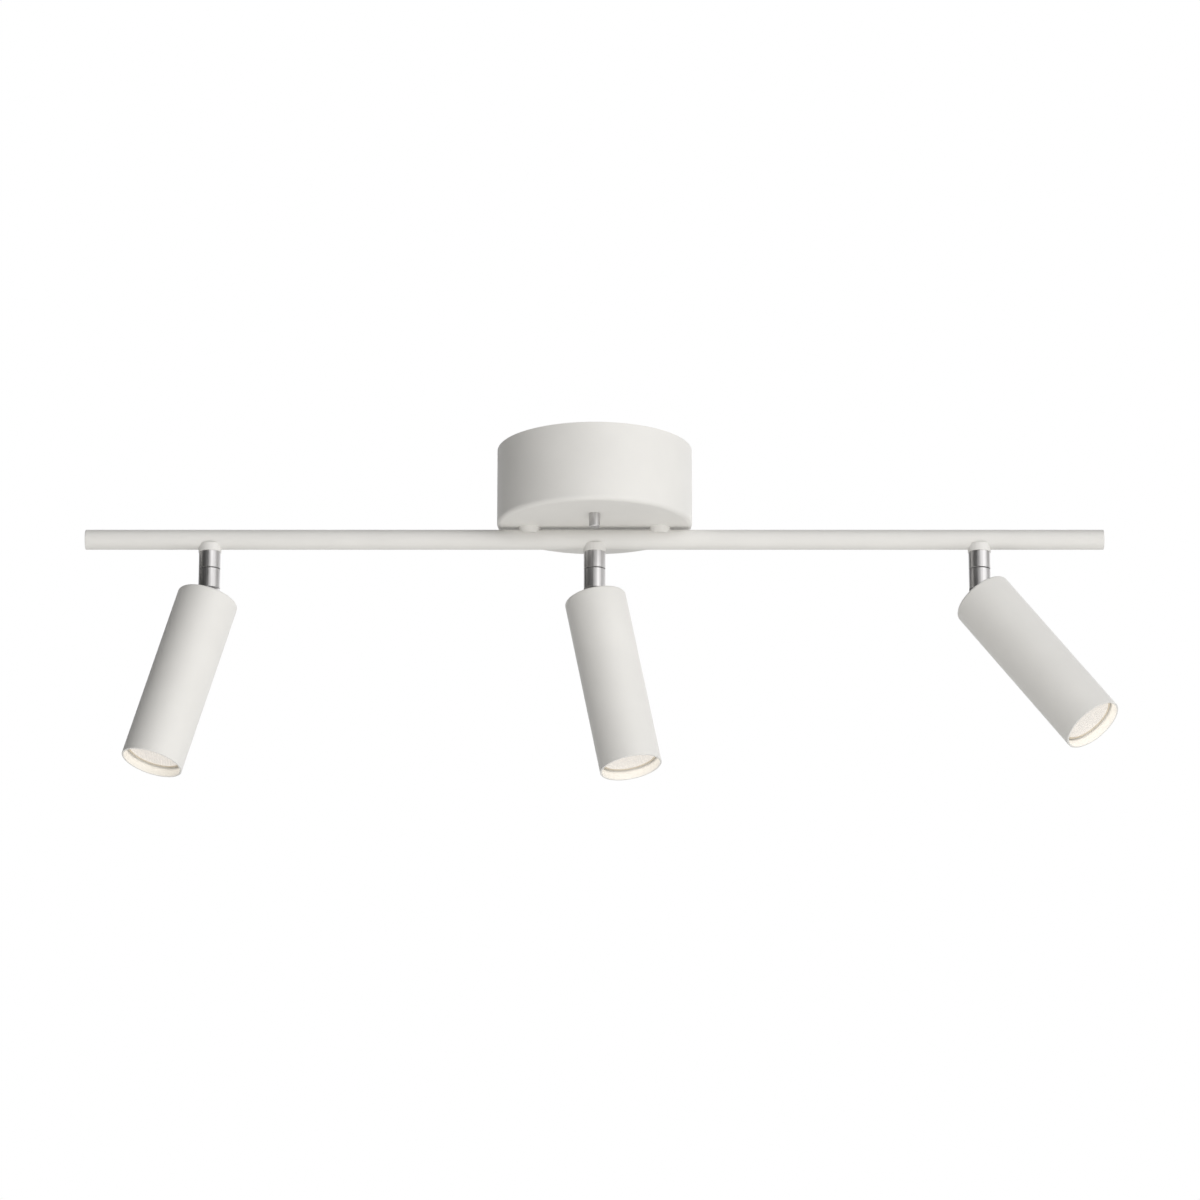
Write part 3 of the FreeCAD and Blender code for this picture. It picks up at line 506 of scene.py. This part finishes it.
def area_light(name, place, size, power, color):
    """A soft box that faces the middle of the fixture, unseen by the camera."""
    data = bpy.data.lights.new(name, "AREA")
    data.shape = "RECTANGLE"
    data.size = size[0]
    data.size_y = size[1]
    data.energy = power
    data.color = color
    light = bpy.data.objects.new(name, data)
    light.location = place
    light.rotation_euler = (Vector(AIM) - Vector(place)).to_track_quat("-Z", "Y").to_euler()
    light.visible_camera = False
    bpy.context.scene.collection.objects.link(light)


def lights():
    """A large key from the front right, a fill from above and a bounce from below."""
    area_light("key", (1.3, -1.95, 0.3), (3.2, 2.4), 21.5, COOL_WHITE)
    area_light("upper_fill", (0.3, -1.4, 1.3), (2.2, 1.4), 10.5, COOL_WHITE)
    area_light("front_bounce", (0.1, -1.6, -1.9), (2.4, 1.6), 21.0, WARM_WHITE)


def lamp_glow():
    """The spill of each lit lamp onto the inside of its tube."""
    for name in SPOTS:
        data = bpy.data.lights.new("glow_" + name, "AREA")
        data.shape = "DISK"
        data.size = 2 * LAMP_RADIUS
        data.energy = SPILL_POWER
        data.color = LAMP_WHITE
        light = bpy.data.objects.new("glow_" + name, data)
        light.matrix_world = lamp_matrix(name, SPILL_AHEAD)
        light.visible_camera = False
        light.parent = frame["bodies"]["head_" + name]
        bpy.context.scene.collection.objects.link(light)


def camera():
    """Below and in front of the fixture, looking up at it with a long lens."""
    lift = math.radians(15.8)
    distance = 3.099
    target = Vector((0.0035, 0.0, -0.1008))
    ahead = Vector((0.0, math.cos(lift), math.sin(lift)))
    data = bpy.data.cameras.new("camera")
    data.sensor_width = 36.0
    data.lens = 143.45
    data.clip_end = 60.0
    eye = bpy.data.objects.new("camera", data)
    eye.location = target - ahead * distance
    eye.rotation_euler = ahead.to_track_quat("-Z", "Y").to_euler()
    bpy.context.scene.collection.objects.link(eye)
    bpy.context.scene.camera = eye


finish_cad_nodes()
lamps()
head_leads()
pale_floor()
studio_sky()
lights()
lamp_glow()
camera()
bpy.context.scene.view_settings.view_transform = "Standard"

bpy.context.view_layer.update()
